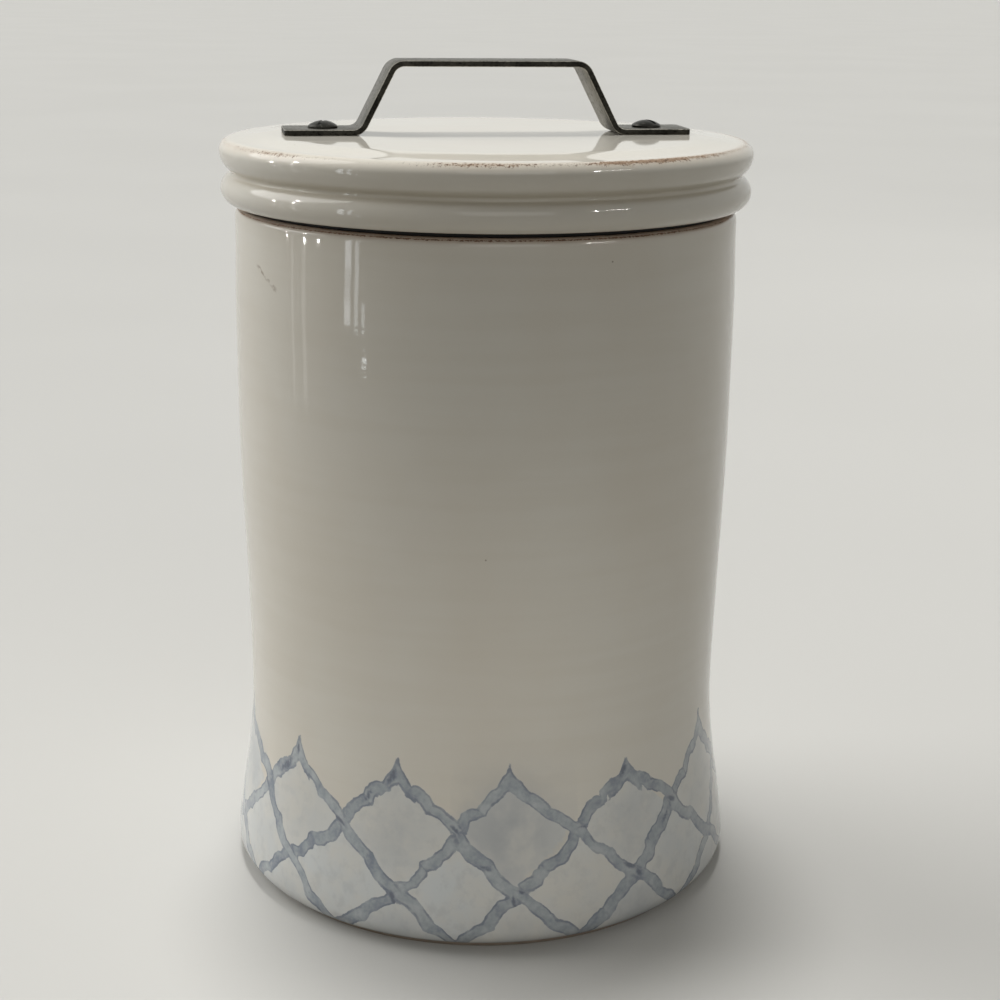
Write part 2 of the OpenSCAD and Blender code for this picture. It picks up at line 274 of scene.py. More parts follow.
# the hand shakes a little
for size, depth in ((26.0, 0.45), (8.7, 0.36), (4.9, 0.20)):
    a, b, c, d = hand.uniform(0, math.tau, 4)
    turns = round(GIRTH / size) * math.tau / GIRTH
    s, z = (s + depth * np.sin(s * turns + z / size * 4.1 + a) * np.cos(z / size * 3.3 + b),
            z + depth * np.sin(s * turns + z / size * 3.7 + c) * np.cos(z / size * 5.0 + d))
nearest = np.full(len(band), FAR)
next_one = np.full(len(band), FAR)
tone = np.full(len(band), 0.5)


def beside(at):
    """How far along the wall each point is from arc length at, the short way round."""
    return (s - at + GIRTH / 2) % GIRTH - GIRTH / 2


def swept(start, end, bulge, half):
    """Distance from one stroke bowed by a vector, and how far along it each point is."""
    middle = (start + end) / 2
    off = beside(middle[0])
    length = np.linalg.norm(end - start)
    sag = np.linalg.norm(bulge)
    along, out = (end - start) / length, bulge / sag
    u = off * along[0] + (z - middle[1]) * along[1]
    v = off * out[0] + (z - middle[1]) * out[1]
    t = np.clip(2 * u / length, -1.4, 1.4)
    v = (v - sag * (1 - t * t)) / np.sqrt(1 + (4 * sag * t / length) ** 2)
    soft = half / 2 + 0.3
    over_v, over_u = np.abs(v) - half + soft, np.abs(u) - length / 2 + soft
    gap = (np.minimum(np.maximum(over_v, over_u), 0)
           + np.hypot(np.maximum(over_v, 0), np.maximum(over_u, 0)) - soft)
    return gap, np.clip(0.5 + t / 2, 0, 1)


def side_of_cell(kind, k, p, q, out, start_lap, end_lap):
    """The two bowed strokes of one side of a cell, as one gap, and their tone."""
    along = (q - p) / np.linalg.norm(q - p)
    side = np.array([along[1], -along[0]])
    side = side if side @ out > 0 else -side
    middle = (p + q) / 2 - side * hand.uniform(0.2, 1.3) + along * hand.uniform(-1.5, 1.5)
    bow_1, bow_2 = hand.uniform(1.2, 2.1, 2)
    if k in cusps[kind]:
        degrees, height, bow_1, bow_2 = cusps[kind][k]
        middle = np.array([degrees * ROUND, height])
    pale = hand.uniform(0.0, 1.0, 2)
    half_1, half_2 = STROKE * hand.uniform(0.86, 1.14, 2) * fuller.get((kind, k), 1.0)
    gap_1, t_1 = swept(p - along * start_lap, middle + along * 1.0, side * bow_1, half_1)
    gap_2, t_2 = swept(middle - along * 0.1, q + along * end_lap, side * bow_2, half_2)
    shade = np.where(gap_1 < gap_2, pale[0] + (0.5 - t_1) * hand.uniform(-0.2, 0.7),
                     pale[1] + (0.5 - t_2) * hand.uniform(-0.2, 0.7))
    return np.minimum(gap_1, gap_2), shade


def lay(pieces):
    """Lays strokes that run into each other as one, over all laid before."""
    gap, shade = pieces[0]
    for other, other_shade in pieces[1:]:
        shade = np.where(other < gap, other_shade, shade)
        gap = np.minimum(gap, other)
    first = gap < nearest
    next_one[:] = np.where(first, nearest, np.minimum(next_one, gap))
    nearest[:] = np.where(first, gap, nearest)
    tone[:] = np.where(first, shade, tone)


def spire(k):
    """The flick up from a tip, with hollow flanks, over the arch under it."""
    tip = tips[k]
    rise, blunt, hollow = flicks.get(k, (hand.uniform(5.4, 6.4), 1.7, 1.55))
    top = tip[1] + rise
    off = np.abs(beside(tip[0]))
    foot = tip[1] + SPIRE_FOOT
    t = np.clip((z - foot) / (top - foot), 0, 1)
    flank = (off - np.maximum(SPIRE_HALF * (1 - t) ** hollow, 0.5 + blunt * (1 - t))) * 0.8
    arch = (tip[1] + ARCH_Z - 0.9 * off - z) * 0.7
    return np.maximum(np.maximum(flank, z - top), arch), np.full(len(s), hand.uniform(0.2, 0.9))


# Every stroke down to the right runs on through its crossings, and the strokes
# down to the left stop against it with a small overlap.
for k in range(-6, 7):
    right, under, low = row_1[k + 1], row_2[k + 1], row_3[k + 2]
    lay([spire(k),
         side_of_cell("upper left", k, tips[k] + [-3.6, -5.2], row_1[k], (-1, 1),
                      0.6, 0.3 - STROKE),
         side_of_cell("upper right", k, tips[k] + [4.0, -5.4], right, (1, 1), 0.5, 0.6),
         side_of_cell("lower left", k + 1, right, under, (-1, -1), 0.6, 0.6),
         side_of_cell("foot right", k + 1, under, low, (1, 1), 0.6, 0.6)])
for k in range(-6, 7):
    lay([side_of_cell("lower right", k, row_1[k + 1], row_2[k], (1, -1),
                      0.2 - STROKE + hand.uniform(0.0, 0.9),
                      0.9 - STROKE + hand.uniform(-0.3, 0.4))])
    lay([side_of_cell("foot left", k, row_2[k], row_3[k], (-1, 1),
                      0.2 - STROKE + hand.uniform(0.2, 0.9), 0.0)])

# Where a loaded brush rested, pigment stands in pools: angle, height, half
# length, half width and lean of each, the front ones first.
pools = [(-20.4, 59.6, 3.0, 1.0, 75), (-26.0, 51.0, 2.4, 0.7, 60), (-33.6, 40.1, 3.4, 0.8, -28),
         (-18.6, 17.6, 3.6, 0.9, -62), (7.4, 16.4, 1.9, 1.5, 80), (7.0, 19.5, 2.4, 0.7, 80),
         (33.9, 58.6, 2.8, 1.5, 50), (24.0, 41.3, 3.0, 0.5, -8), (35.0, 24.4, 2.6, 1.0, -35),
         (37.4, 20.4, 1.6, 0.9, -50), (-5.6, 43.2, 2.0, 0.7, -45), (0.9, 31.2, 1.6, 0.7, -20),
         (-52.0, 52.0, 5.0, 1.3, 50), (-47.8, 60.0, 2.6, 0.9, 80), (8.6, 22.4, 2.2, 0.6, -20),
         (60.0, 41.0, 3.0, 0.9, 60), (51.5, 24.0, 2.5, 0.8, -40), (-60.5, 40.5, 3.0, 0.8, -40),
         (47.0, 36.4, 2.8, 0.8, 55), (49.8, 41.6, 2.2, 1.0, -30)]
for k in (-6, -5, -4, 3, 4, 5, 6):
    for row, dz, lean in ((tips, -1.4, 70), (row_1, -0.8, -40), (row_2, -3.4, -60)):
        if hand.uniform() < 0.75:
            pools.append((row[k][0] / ROUND + hand.uniform(-1.2, 1.2), row[k][1] + dz,
                          hand.uniform(1.6, 3.6), hand.uniform(0.6, 1.4), lean))
pool = np.zeros(len(band))
for degrees, at_z, half_l, half_w, lean in pools:
    off = beside(degrees * ROUND)
    c, d = math.cos(math.radians(lean)), math.sin(math.radians(lean))
    u, v = off * c + (z - at_z) * d, (z - at_z) * c - off * d
    pool = np.maximum(pool, np.exp(-(u / half_l) ** 2 - (v / half_w) ** 2))

# Inside the lattice a thin cooler wash lies over the cream, cell by cell, with
# a greyer dab in the middle of most of those in the first row.
CELL_DROP, CELL_HALF_W, CELL_HALF_H = 19.6, 20.9, 19.9
wash = np.zeros(len(band))
dab = np.zeros(len(band))
best = np.full(len(band), 1e9)
front_dabs = {-1: 0.55, 0: 1.0, 1: 0.45, -2: 0.4}
for row, kind in ((tips, "upper"), (row_1, "lower"), (row_2, "upper"), (row_3, "lower")):
    for k in range(-6, 7):
        heart = row[k] + [0, -CELL_DROP]
        off = beside(heart[0])
        far = np.abs(off) / CELL_HALF_W + np.abs(z - heart[1]) / CELL_HALF_H
        mine = far < best
        best = np.where(mine, far, best)
        wash = np.where(mine, hand.uniform(0.65, 1.0), wash)
        deep = hand.uniform(0.2, 0.9) if kind == "upper" else hand.uniform(0.0, 0.3)
        if row is tips:
            deep = front_dabs.get(k, deep)
        wide = 9.0 + 9.0 * deep
        blot = np.exp(-((off - hand.uniform(-2, 2)) ** 2 + (z - heart[1]) ** 2) / wide ** 2)
        dab = np.where(mine, deep * blot, dab)
wash = np.where(best < 1.0, wash, 0.0)


def write(piece, name, index, values, rest):
    """Stores one number per point on a piece, for its material to read."""
    every = np.full(len(piece.data.vertices), float(rest))
    every[index] = values
    layer = piece.data.attributes.new(name, "FLOAT", "POINT")
    layer.data.foreach_set("value", every)


for name, values, rest in (("stroke_gap", nearest, FAR), ("lap_gap", next_one, FAR),
                           ("stroke_tone", tone, 0.5), ("ink_pool", pool, 0),
                           ("cell_wash", wash, 0), ("cell_dab", dab, 0)):
    write(jar, name, band, values, rest)


def srgb(r, g, b):
    """A colour as seen, 0 to 255, made linear."""
    return tuple((v / 12.92 if v <= 0.04045 else ((v + 0.055) / 1.055) ** 2.4)
                 for v in (r / 255, g / 255, b / 255)) + (1.0,)


def add(tree, kind, *inputs, **settings):
    """Adds a shader node; inputs are sockets to join or values to set, in order."""
    made = tree.nodes.new("ShaderNode" + kind)
    for name, value in settings.items():
        setattr(made, name, value)
    for i, value in enumerate(inputs):
        if isinstance(value, bpy.types.NodeSocket):
            tree.links.new(value, made.inputs[i])
        elif value is not None:
            made.inputs[i].default_value = value
    return made


def number(tree, operation, *inputs):
    """A Math node's result."""
    return add(tree, "Math", *inputs, operation=operation).outputs[0]


def times(tree, a, b):
    """The product of two numbers."""
    return number(tree, "MULTIPLY", a, b)


def scaled(tree, value, by, plus):
    """A number times another, plus a third."""
    return number(tree, "MULTIPLY_ADD", value, by, plus)


def between(tree, value, lo, hi, to_lo=0.0, to_hi=1.0):
    """Eases from to_lo to to_hi as value goes from lo to hi."""
    return add(tree, "MapRange", value, lo, hi, to_lo, to_hi,
               interpolation_type="SMOOTHSTEP").outputs[0]


def blend(tree, amount, a, b):
    """Mixes two colours, which are the Mix node's inputs 6 and 7."""
    return add(tree, "Mix", amount, *5 * [None], a, b, data_type="RGBA").outputs[2]


def grain(tree, place, size, detail=2.0, rough=0.5):
    """Noise from 0 to 1 whose lumps are about size metres across."""
    return add(tree, "TexNoise", place, None, 1 / size, detail, rough).outputs[0]


def held(tree, name):
    """A number stored on the piece."""
    return add(tree, "Attribute", attribute_name=name).outputs[2]


def fresh(name):
    """A new material with its shader and the Object coordinates."""
    made = bpy.data.materials.new(name)
    made.use_nodes = True
    tree = made.node_tree
    shader = tree.nodes["Principled BSDF"]
    place = add(tree, "TexCoord").outputs["Object"]
    return made, tree, shader, place


def squeezed(tree, place, x, y, z):
    """Coordinates scaled by a different amount along each axis."""
    return add(tree, "VectorMath", place, (x, y, z), operation="MULTIPLY").outputs[0]


def height(tree, place):
    """Height above the worktop, in metres."""
    return add(tree, "SeparateXYZ", place).outputs[2]


def ring_gap(tree, place, r, z):
    """Distance in metres from a circle of radius r at height z round the Z axis."""
    out = add(tree, "VectorMath", squeezed(tree, place, 1, 1, 0), operation="LENGTH").outputs[1]
    return number(tree, "SQRT", number(
        tree, "ADD",
        number(tree, "POWER", number(tree, "SUBTRACT", out, r * MM), 2.0),
        number(tree, "POWER", number(tree, "SUBTRACT", height(tree, place), z * MM), 2.0)))


CREAM = srgb(223, 217, 204)
CREAM_THIN = srgb(217, 210, 194)
CREAM_THICK = srgb(227, 223, 212)
CLAY = srgb(158, 134, 112)
CLAY_DARK = srgb(90, 68, 51)
CLAY_BLUSH = srgb(214, 201, 184)


def glaze_ground(tree, place):
    """The cream glaze's own colour: faint drifts and rings, and a few iron specks."""
    drift = grain(tree, squeezed(tree, place, 1, 1, 0.6), 0.06, 3, 0.55)
    colour = blend(tree, between(tree, drift, 0.3, 0.7), CREAM, CREAM_THICK)
    rings = grain(tree, squeezed(tree, place, 0.25, 0.25, 3.5), 0.020)
    colour = blend(tree, between(tree, rings, 0.35, 0.7, 0, 0.2), colour, CREAM_THIN)
    cells = add(tree, "TexVoronoi", place, None, 1 / 0.013)
    fleck = between(tree, cells.outputs[0], 0.032, 0.014)
    some = between(tree, add(tree, "SeparateXYZ", cells.outputs[1]).outputs[0], 0.74, 0.78)
    return blend(tree, times(tree, fleck, times(tree, some, 0.6)), colour, srgb(128, 110, 88))


def worn_to_clay(tree, place, colour, r, z, width, blushing):
    """Where an edge has lost its glaze: flecks of clay along a ring, as many as the
    piece is rubbed there, and a blush beside them. Gives colour and bareness."""
    rubbed = held(tree, "rubbed")
    ragged = grain(tree, place, 0.0034, 3, 0.65)
    flecks = grain(tree, place, 0.0008, 3, 0.65)
    wide = width * MM
    gap = scaled(tree, number(tree, "SUBTRACT", ragged, 0.5), 1.6 * wide,
                 ring_gap(tree, place, r, z))
    blush = times(tree, between(tree, gap, 2.8 * wide, 0.4 * wide), times(tree, rubbed, blushing))
    colour = blend(tree, blush, colour, CLAY_BLUSH)
    near = times(tree, between(tree, gap, 1.8 * wide, 0.1 * wide), rubbed)
    eaten = scaled(tree, near, 0.50, flecks)
    bare = times(tree, between(tree, eaten, 0.70, 0.92), between(tree, near, 0.02, 0.15))
    clay = blend(tree, between(tree, flecks, 0.50, 0.68), CLAY, CLAY_DARK)
    return blend(tree, bare, colour, clay), bare


def rub(piece, by_angle):
    """Stores how much a piece's edge is rubbed at each angle to the right of the front."""
    points = points_of(piece)
    degrees = (np.degrees(np.arctan2(points[:, 1], points[:, 0])) - FRONT + 180) % 360 - 180
    write(piece, "rubbed", slice(None), np.interp(degrees, *zip(*by_angle), period=360), 0)


def finish(tree, shader, colour, rough, strength=0.0, depth=0.0, relief=None):
    """Joins a material's colour, roughness and fine relief to its shader."""
    tree.links.new(colour, shader.inputs["Base Color"])
    tree.links.new(rough, shader.inputs["Roughness"])
    if relief is not None:
        bump = add(tree, "Bump", strength, depth)
        tree.links.new(relief, bump.inputs["Height"])
        tree.links.new(bump.outputs[0], shader.inputs["Normal"])


def gloss(tree, shader, place, colour, bare):
    """Finishes a glazed material: glassy where glazed, dry where bare."""
    dull = scaled(tree, grain(tree, place, 0.012), 0.05, 0.025)
    rough = scaled(tree, bare, 0.6, dull)
    shader.inputs["IOR"].default_value = 1.5
    rings = grain(tree, squeezed(tree, place, 1, 1, 9), 0.030)
    peel = grain(tree, place, 0.0042)
    relief = scaled(tree, peel, 0.10, rings)
    relief = scaled(tree, bare, -0.6, relief)
    finish(tree, shader, colour, rough, 0.22, 0.12 * MM, relief)


BRUSH_PALE = srgb(184, 190, 193)
BRUSH_DEEP = srgb(130, 140, 153)
BRUSH_DARK = srgb(92, 101, 120)
WASH = srgb(215, 219, 219)
WASH_GREY = srgb(183, 186, 187)

painted, tree, shader, place = fresh("cream_glaze_with_trellis")
colour = glaze_ground(tree, place)
up = height(tree, place)

# the wash inside the cells
cloudy = grain(tree, place, 0.013, 3, 0.6)
amount = times(tree, held(tree, "cell_wash"), between(tree, cloudy, 0.25, 0.7, 0.55, 1))
colour = blend(tree, amount, colour, WASH)
brushed = between(tree, grain(tree, place, 0.0045, 3, 0.6), 0.46, 0.70, 0, 0.30)
colour = blend(tree, times(tree, brushed, held(tree, "cell_wash")), colour, WASH_GREY)
dabs = times(tree, held(tree, "cell_dab"), between(tree, cloudy, 0.3, 0.65, 0.35, 1))
colour = blend(tree, dabs, colour, WASH_GREY)

# the strokes: watery inside, with pigment gathered at their edges and where they lap
fringe = scaled(tree, grain(tree, place, 0.0022, 3, 0.6), 0.9, -0.45)
gap = number(tree, "ADD", held(tree, "stroke_gap"), fringe)
lap = number(tree, "ADD", held(tree, "lap_gap"), fringe)
fade = between(tree, up, (BARE_Z - 0.1) * MM, (BARE_Z + 2.1) * MM)
inside = times(tree, between(tree, gap, 0.12, -0.12), fade)
RIM_IN = 0.36  # millimetres inside a stroke's edge
rim = between(tree, number(tree, "ABSOLUTE", number(tree, "ADD", gap, RIM_IN)), 0.60, 0.05)
lapped = between(tree, lap, 0.15, -0.5)
watery = grain(tree, place, 0.0050, 3, 0.6)
blooms = grain(tree, place, 0.0016)
load = scaled(tree, held(tree, "stroke_tone"), 0.42,
              scaled(tree, watery, 2.1, scaled(tree, blooms, 0.6, -1.15)))
stroke = blend(tree, add(tree, "Clamp", load).outputs[0], BRUSH_PALE, BRUSH_DEEP)
patchy = between(tree, grain(tree, place, 0.006), 0.36, 0.62)
dark = times(tree, rim, scaled(tree, patchy, 0.50, 0.08))
dark = number(tree, "MAXIMUM", dark, times(tree, lapped, scaled(tree, patchy, 0.35, 0.20)))
rested = times(tree, held(tree, "ink_pool"), between(tree, blooms, 0.2, 0.6, 0.5, 1))
dark = number(tree, "MAXIMUM", dark, between(tree, rested, 0.08, 0.75, 0, 0.85))
stroke = blend(tree, dark, stroke, BRUSH_DARK)
colour = blend(tree, times(tree, inside, 0.95), colour, stroke)

# a scuff that left a brown mark near the top on the left, on the outside only: its
# middle, the way it runs, the way across it and the way out of the wall
SCUFF = (-0.0781, -0.0378, 0.2206)
SCUFF_WAYS = (0.257, -0.862, -0.436), (0.124, -0.418, 0.900), (-0.900, -0.436, 0)
off = add(tree, "VectorMath", place, SCUFF, operation="SUBTRACT").outputs[0]
lengthwise, sideways, outwards = (
    add(tree, "VectorMath", off, way, operation="DOT_PRODUCT").outputs[1] for way in SCUFF_WAYS)
waver = scaled(tree, grain(tree, place, 0.004), 0.0024, -0.0012)
sideways = number(tree, "ABSOLUTE", number(tree, "ADD", sideways, waver))
mark = times(tree, between(tree, sideways, 0.0009, 0.0001), times(
    tree, between(tree, number(tree, "ABSOLUTE", lengthwise), 0.0085, 0.0050),
    between(tree, grain(tree, place, 0.0028, 2, 0.6), 0.40, 0.58, 0, 0.6)))
mark = times(tree, mark, between(tree, outwards, -0.0045, -0.0030))
colour = blend(tree, mark, colour, srgb(134, 112, 86))

# the rim's worn corner and the bare standing ring
rub(jar, [(-170, 0.8), (-120, 0.6), (-70, 0.8), (-40, 0.9), (-10, 0.75), (20, 0.9), (60, 0.8),
          (90, 0.6), (130, 0.85)])
RIM_WORN_R, RIM_WORN_Z, RIM_WORN_W, RIM_BLUSH = 85.0, 238.2, 0.36, 0.15
colour, bare = worn_to_clay(tree, place, colour, RIM_WORN_R, RIM_WORN_Z, RIM_WORN_W, RIM_BLUSH)
ring = between(tree, scaled(tree, cloudy, 0.0008, up), (BARE_Z + 0.5) * MM, BARE_Z * MM)
clay = blend(tree, grain(tree, place, 0.004, 3, 0.6), srgb(150, 138, 124), srgb(122, 108, 95))
colour = blend(tree, ring, colour, clay)
bare = number(tree, "MAXIMUM", bare, ring)
gloss(tree, shader, place, colour, bare)
jar.data.materials.append(painted)

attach(jar, "jar")
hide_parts("jar_body")

# ---- the seal
# A charcoal silicone ring stretched over the lid's collar. A flat lip lies
# between the rim and the lid, and two soft fins below it wipe the mouth.
SEAL_R, SLEEVE_R, LIP_R = 74.5, 76.2, 83.4
SEAL_TOP, SLEEVE_Z, FIN_TIP_R = 240.6, 232.3, 78.5
FIN_T, FIN_TIP_T, FIN_PITCH = 1.2, 0.5, 3.0


def fin(z):
    """The outline of one fin whose root starts at height z."""
    return [(SLEEVE_R, z), (FIN_TIP_R - 0.15, z + FIN_T - 0.05), (FIN_TIP_R, z + FIN_T + 0.15),
            (FIN_TIP_R, z + FIN_T + FIN_TIP_T - 0.15), (FIN_TIP_R - 0.2, z + FIN_T + FIN_TIP_T),
            (SLEEVE_R + 0.3, z + FIN_T + 0.15), (SLEEVE_R, z + FIN_T + 0.4)]


seal_outline = (
    [(SEAL_R, SLEEVE_Z)] + fin(SLEEVE_Z) + fin(SLEEVE_Z + FIN_PITCH)
    + arc(SLEEVE_R + 0.5, JAR_TOP - 0.5, 0.5, 180, 90, 3)
    + arc(LIP_R - 0.4, JAR_TOP + 0.4, 0.4, -90, 0, 3)
    + arc(LIP_R - 0.4, SEAL_TOP - 0.4, 0.4, 0, 90, 3)
    + [(SEAL_R, SEAL_TOP), (SEAL_R, SLEEVE_Z + 4), (SEAL_R, SLEEVE_Z)])
seal = thrown("silicone_seal", seal_outline, 256)
smooth(seal, 40)

# Its near-black colour is partly painted shade: it also darkens the gap between the lid and the
# rim.
silicone, tree, shader, place = fresh("charcoal_silicone_and_gap_shade")
dust = grain(tree, place, 0.004, 4, 0.65)
colour = blend(tree, between(tree, dust, 0.45, 0.75, 0, 0.5), srgb(10, 10, 9), srgb(24, 23, 21))
rough = scaled(tree, dust, 0.3, 0.42)
finish(tree, shader, colour, rough, 0.2, 0.10 * MM, grain(tree, place, 0.0012))
shader.inputs["Specular IOR Level"].default_value = 0.2
seal.data.materials.append(silicone)

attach(seal, "seal")
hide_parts("seal_ring")

# ---- the lid
# A thick lid of the same clay and glaze, thrown with two beads round its edge
# and a collar under it that drops into the mouth. Its shoulder is rubbed
# through to the clay all the way round. Two holes take the handle's screws.
LID_TOP, PLATE_Z, SEAT_Z, COLLAR_Z = 263.0, 255.0, 240.6, 229.0
COLLAR_R, HOLLOW_R, HOLLOW_ROUND = 74.2, 68.2, 5.0
KEEPER_H, KEEPER_OUT, KEEPER_BEVEL, KEEPER_SLOPE = 3.0, 1.5, 1.0, 0.4
BEAD_R, SHOULDER_R, CROWN_FALL, CROWN_W = 90.9, 4.0, 1.3, 17.0
UPPER_R, LOWER_R, BEAD_STEP, BEAD_LIFT = 7.5, 5.2, 0.2, 0.9
GROOVE_R, EDGE_R = 1.0, 1.2
SCREW_X, LID_HOLE = 56.0, 5.2

upper = (BEAD_R - UPPER_R, LID_TOP - CROWN_FALL - SHOULDER_R)
lower = (BEAD_R - BEAD_STEP - LOWER_R, SEAT_Z + BEAD_LIFT * LOWER_R)
apart = math.dist(upper, lower)
lean = ((upper[0] - lower[0]) / apart, (upper[1] - lower[1]) / apart)
run = (apart ** 2 + (LOWER_R + GROOVE_R) ** 2 - (UPPER_R + GROOVE_R) ** 2) / (2 * apart)
reach_out = math.sqrt((LOWER_R + GROOVE_R) ** 2 - run ** 2)
groove = (lower[0] + run * lean[0] + reach_out * lean[1],
          lower[1] + run * lean[1] - reach_out * lean[0])


def bearing(c, p):
    """Angle from 0 to 360 of the line from c to p."""
    return math.degrees(math.atan2(p[1] - c[1], p[0] - c[0])) % 360


drop = math.degrees(math.asin((lower[1] - SEAT_Z - EDGE_R) / (LOWER_R - EDGE_R)))
edge_c = (lower[0] + (LOWER_R - EDGE_R) * math.cos(math.radians(drop)),
          lower[1] - (LOWER_R - EDGE_R) * math.sin(math.radians(drop)))
shoulder = (BEAD_R - SHOULDER_R, upper[1])
flat_r = shoulder[0] - CROWN_W
keeper_r = COLLAR_R + KEEPER_OUT
lid_outline = (
    [(r, LID_TOP) for r in (0, 30, 50, 62)]
    + [(flat_r + CROWN_W * i / 14, sway(LID_TOP, LID_TOP - CROWN_FALL, i / 14)) for i in range(14)]
    + arc(*shoulder, SHOULDER_R, 86, 2, 16)
    + arc(*upper, UPPER_R, 357, bearing(upper, groove) + 2, 10)
    + arc(*groove, GROOVE_R, bearing(groove, upper), bearing(groove, lower), 6)
    + arc(*lower, LOWER_R, bearing(lower, groove) - 4, 4 - drop, 16)
    + arc(*edge_c, EDGE_R, -drop, -90, 5)
    + [(COLLAR_R + 4, SEAT_Z)]
    + arc(COLLAR_R + 0.5, SEAT_Z - 0.5, 0.5, 90, 180, 3)
    + [(COLLAR_R, COLLAR_Z + KEEPER_H + 0.2), (COLLAR_R + 0.1, COLLAR_Z + KEEPER_H - 0.05),
       (keeper_r - 0.2, COLLAR_Z + KEEPER_H - KEEPER_SLOPE),
       (keeper_r, COLLAR_Z + KEEPER_H - KEEPER_SLOPE - 0.25)]
    + arc(keeper_r - KEEPER_BEVEL, COLLAR_Z + KEEPER_BEVEL, KEEPER_BEVEL, 0, -90, 4)
    + arc(HOLLOW_R + KEEPER_BEVEL, COLLAR_Z + KEEPER_BEVEL, KEEPER_BEVEL, -90, -180, 4)
    + arc(HOLLOW_R - HOLLOW_ROUND, PLATE_Z - HOLLOW_ROUND, HOLLOW_ROUND, 0, 90, 8)
    + [(r, PLATE_Z) for r in (50, 30, 0)])
lid = thrown("beaded_lid", lid_outline, 384)


def cut_with(piece, tool, way="DIFFERENCE"):
    """Cuts a piece with a tool, or joins or trims it, and throws the tool away."""
    cut = piece.modifiers.new("cut", "BOOLEAN")
    cut.operation = way
    cut.solver = "EXACT"
    cut.object = tool
    apply_all(piece)
    bpy.data.objects.remove(tool)


def drill_both(piece, z, across_hole, depth, sides):
    """Cuts the two screw holes down through a piece."""
    for side in (-1, 1):
        bpy.ops.object.select_all(action="DESELECT")
        bpy.ops.mesh.primitive_cylinder_add(vertices=sides, radius=across_hole / 2 * MM,
                                            depth=depth * MM,
                                            location=(side * SCREW_X * MM, 0, z * MM))
        cut_with(piece, bpy.context.object)


drill_both(lid, (LID_TOP + PLATE_Z) / 2, LID_HOLE, LID_TOP - PLATE_Z + 4, 64)
smooth(lid)

glazed, tree, shader, place = fresh("cream_glaze_with_worn_shoulder")
colour = glaze_ground(tree, place)
# painted shade: the groove between the beads is darkened and warmed a little, where the glaze also
# lies thicker
pooling_and_painted_shade = between(tree, ring_gap(tree, place, groove[0] - 1, groove[1]), 0.0045, 0.0008, 0, 0.55)
colour = blend(tree, pooling_and_painted_shade, colour, srgb(196, 188, 171))
# the rubbed line lies a little lower on the left than on the right
rub(lid, [(-160, 0.7), (-130, 0.35), (-105, 0.6), (-75, 0.45), (-60, 0.55), (-47, 0.72),
          (-38, 0.42), (-24, 0.12), (-14, 0.32), (-4, 0.75), (5, 0.68), (12, 0.40), (18, 0.45),
          (24, 1.0), (32, 1.1), (40, 1.0), (48, 0.8), (60, 0.62), (80, 0.5), (100, 0.8),
          (125, 0.3), (150, 0.55)])
WORN_ASIDE, WORN_R, WORN_Z, WORN_W, WORN_BLUSH = 0.8, 88.85, 261.25, 1.3, 0.85
aside = add(tree, "VectorMath", place, (WORN_ASIDE * MM, 0, 0), operation="ADD").outputs[0]
colour, bare = worn_to_clay(tree, aside, colour, WORN_R, WORN_Z, WORN_W, WORN_BLUSH)
# the seat under the lid is wiped bare where the seal lies
WIPED_R, WIPED_HALF_W = 83.0, 4.6
wiped = ring_gap(tree, place, WIPED_R, SEAT_Z)
seat = times(tree, between(tree, height(tree, place), (SEAT_Z + 0.6) * MM, (SEAT_Z + 0.1) * MM),
             between(tree, wiped, (WIPED_HALF_W + 0.6) * MM, WIPED_HALF_W * MM))
colour = blend(tree, seat, colour, srgb(176, 140, 116))
gloss(tree, shader, place, colour, number(tree, "MAXIMUM", bare, seat))
lid.data.materials.append(glazed)

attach(lid, "lid")
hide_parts("lid")

# ---- the handle
# One piece of 20 x 2 mm steel strap, bent cold four times so that it stands
# on two feet, blackened, and burnished where hands and cloths have rubbed it.
STRAP_W, STRAP_T, HANDLE_H = 19.8, 2.0, 24.5
HANDLE_L, FOOT_L, LEG_A, BEND_R, CORNER_R = 138.8, 22.7, 62.6, 3.7, 1.6
STRAP_HOLE = 4.5
low_run = BEND_R * math.tan(math.radians(LEG_A / 2))
high_run = (BEND_R + STRAP_T) * math.tan(math.radians(LEG_A / 2))
leg_x = HANDLE_L / 2 - FOOT_L - low_run
grip_x = leg_x - (HANDLE_H - STRAP_T) / math.tan(math.radians(LEG_A))
leg_l = math.hypot(leg_x - grip_x, HANDLE_H - STRAP_T) - low_run - high_run
BEND_STEPS = 16

strap = point("steel_strap", -HANDLE_L / 2, -STRAP_W / 2, LID_TOP)


def bend(x, z, degrees):
    """Bends the end of the strap on round a former at (x, z)."""
    bpy.ops.mesh.spin(steps=BEND_STEPS, angle=math.radians(degrees),
                      center=(x * MM, -STRAP_W / 2 * MM, (LID_TOP + z) * MM), axis=(0, 1, 0))


slope = math.radians(LEG_A)
pull(0, 0, STRAP_T)
bpy.ops.mesh.select_all(action="SELECT")
pull(FOOT_L, 0, 0)
bend(-(leg_x + low_run), STRAP_T + BEND_R, LEG_A)
pull(leg_l * math.cos(slope), 0, leg_l * math.sin(slope))
bend(-(grip_x - high_run), HANDLE_H - STRAP_T - BEND_R, -LEG_A)
pull(2 * (grip_x - high_run), 0, 0)
bend(grip_x - high_run, HANDLE_H - STRAP_T - BEND_R, -LEG_A)
pull(leg_l * math.cos(slope), 0, -leg_l * math.sin(slope))
bend(leg_x + low_run, STRAP_T + BEND_R, LEG_A)
pull(FOOT_L, 0, 0)
bpy.ops.mesh.select_all(action="SELECT")
bpy.ops.mesh.remove_doubles(threshold=0.001 * MM)
bpy.ops.mesh.select_all(action="SELECT")
pull(0, STRAP_W, 0)
bpy.ops.mesh.select_all(action="SELECT")
bpy.ops.mesh.normals_make_consistent(inside=False)
bpy.ops.object.mode_set(mode="OBJECT")

